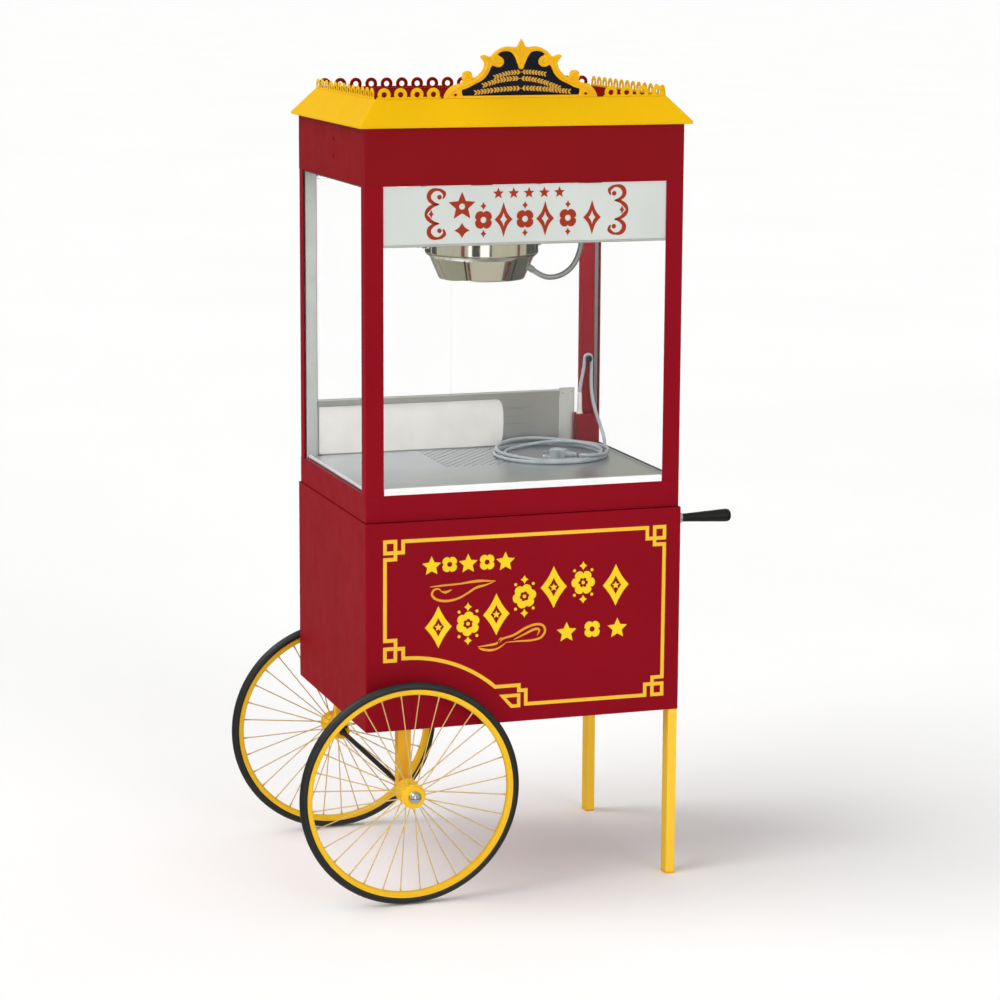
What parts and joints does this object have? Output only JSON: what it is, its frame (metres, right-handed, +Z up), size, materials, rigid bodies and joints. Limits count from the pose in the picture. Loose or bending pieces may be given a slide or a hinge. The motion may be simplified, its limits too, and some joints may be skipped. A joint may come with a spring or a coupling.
{
  "type": "popcorn machine on a cart",
  "caption": "Floor-standing popcorn machine: glazed popper cabinet with a tilting kettle, hipped roof, gallery and crest, on a wheeled cart with storage doors and push handles.",
  "frame": {"origin": "on the floor under the middle of the whole machine, push handles and wheels included", "axes": "+Z up, front (customer side) towards -Y, push handles towards +X"},
  "size_m": [0.996, 0.704, 1.841],
  "materials": {
    "red_paint": "satin powder coat",
    "yellow_paint": "gloss enamel",
    "gilt": "gloss enamel on a cast scroll",
    "black_enamel": "gloss enamel",
    "stainless": "brushed",
    "bright_steel": "polished",
    "aluminium": "satin",
    "rubber_black": "moulded",
    "grip_black": "moulded",
    "plastic_black": "fine texture",
    "switch_plastic": "gloss",
    "plastic_white": "satin",
    "sign_plastic": "translucent",
    "clear_pane": "clear",
    "lamp_glass": "frosted",
    "cord_grey": "smooth",
    "conduit_grey": "ribbed flexible conduit"
  },
  "bodies": {
    "frame": {"axle": "black_enamel", "axle_brackets": "yellow_paint", "axle_nuts": "bright_steel", "cabinet_lamp": "lamp_glass", "canopy_ceiling": "stainless", "canopy_screws": "bright_steel", "canopy_shell": "red_paint", "cart_bottom_panel": "red_paint", "cart_deck": "red_paint", "cart_end_panels": "red_paint", "cart_front_panel": "red_paint", "cart_rear_frame": "red_paint", "control_panel": "red_paint", "cord_coil": "cord_grey", "cord_fittings": "plastic_black", "corner_posts": "red_paint", "crest_field": "black_enamel", "crest_frame": "gilt", "floor_pan": "stainless", "gallery_rails": "yellow_paint", "glass_panes": "clear_pane", "glass_sill": "plastic_white", "handle_grips": "grip_black", "hinge_pins": "bright_steel", "kettle_hangers": "stainless", "kettle_lead": "conduit_grey", "leg_feet": "yellow_paint", "legs": "yellow_paint", "popper_base": "red_paint", "power_cord": "cord_grey", "power_plug": "cord_grey", "rear_apron": "stainless", "roof": "yellow_paint", "sign_panel": "sign_plastic", "wiring_raceway": "red_paint"},
    "wheel_front": {"tyre_front": "rubber_black", "rim_front": "yellow_paint", "spokes_front": "yellow_paint", "hub_front": "yellow_paint"},
    "wheel_rear": {"tyre_rear": "rubber_black", "rim_rear": "yellow_paint", "spokes_rear": "yellow_paint", "hub_rear": "yellow_paint"},
    "kettle": {"kettle_drum": "aluminium", "kettle_pan": "stainless", "heating_element": "bright_steel", "kettle_crossbar": "stainless", "kettle_motor": "aluminium", "dump_lever": "stainless"},
    "lid_front": {"lid_front": "stainless"},
    "lid_rear": {"lid_rear": "stainless"},
    "agitator": {"agitator": "stainless"},
    "cabinet_door_left": {"door_left": "clear_pane"},
    "cabinet_door_right": {"door_right": "clear_pane"},
    "storage_door_left": {"cart_door_left": "red_paint"},
    "storage_door_right": {"cart_door_right": "red_paint"},
    "crumb_drawer": {"crumb_drawer": "stainless"},
    "switch_heat": {"switch_heat": "switch_plastic"},
    "switch_motor": {"switch_motor": "switch_plastic"},
    "switch_light": {"switch_light": "switch_plastic"}
  },
  "joints": [
    {"name": "wheel_front_spin", "type": "hinge", "parent": "frame", "child": "wheel_front", "pos_m": [-0.253, -0.305, 0.245], "axis": [0, 1, 0], "continuous": true},
    {"name": "wheel_rear_spin", "type": "hinge", "parent": "frame", "child": "wheel_rear", "pos_m": [-0.253, 0.305, 0.245], "axis": [0, 1, 0], "continuous": true},
    {"name": "kettle_tilt", "type": "hinge", "parent": "frame", "child": "kettle", "pos_m": [0.007, 0.015, 1.392], "axis": [1, 0, 0], "range_deg": [0, 110], "deforming": ["kettle_lead"]},
    {"name": "lid_front_lift", "type": "hinge", "parent": "kettle", "child": "lid_front", "pos_m": [0.007, 0.003, 1.447], "axis": [-1, 0, 0], "range_deg": [0, 40]},
    {"name": "lid_rear_lift", "type": "hinge", "parent": "kettle", "child": "lid_rear", "pos_m": [0.007, 0.027, 1.447], "axis": [1, 0, 0], "range_deg": [0, 40]},
    {"name": "agitator_spin", "type": "hinge", "parent": "kettle", "child": "agitator", "pos_m": [0.007, 0.015, 1.4], "axis": [0, 0, 1], "continuous": true},
    {"name": "cabinet_door_left_swing", "type": "hinge", "parent": "frame", "child": "cabinet_door_left", "pos_m": [-0.302, 0.271, 1.2], "axis": [0, 0, 1], "range_deg": [0, 110]},
    {"name": "cabinet_door_right_swing", "type": "hinge", "parent": "frame", "child": "cabinet_door_right", "pos_m": [0.332, 0.271, 1.2], "axis": [0, 0, -1], "range_deg": [0, 110]},
    {"name": "storage_door_left_swing", "type": "hinge", "parent": "frame", "child": "storage_door_left", "pos_m": [-0.305, 0.279, 0.6], "axis": [0, 0, 1], "range_deg": [0, 110]},
    {"name": "storage_door_right_swing", "type": "hinge", "parent": "frame", "child": "storage_door_right", "pos_m": [0.335, 0.279, 0.6], "axis": [0, 0, -1], "range_deg": [0, 110]},
    {"name": "crumb_drawer_slide", "type": "slide", "parent": "frame", "child": "crumb_drawer", "axis": [0, 1, 0], "range_m": [0, 0.22]},
    {"name": "switch_heat_rock", "type": "hinge", "parent": "frame", "child": "switch_heat", "pos_m": [-0.055, 0.264, 1.6], "axis": [1, 0, 0], "range_deg": [0, 16]},
    {"name": "switch_motor_rock", "type": "hinge", "parent": "frame", "child": "switch_motor", "pos_m": [0.015, 0.264, 1.6], "axis": [1, 0, 0], "range_deg": [0, 16]},
    {"name": "switch_light_rock", "type": "hinge", "parent": "frame", "child": "switch_light", "pos_m": [0.085, 0.264, 1.6], "axis": [1, 0, 0], "range_deg": [0, 16]}
  ]
}
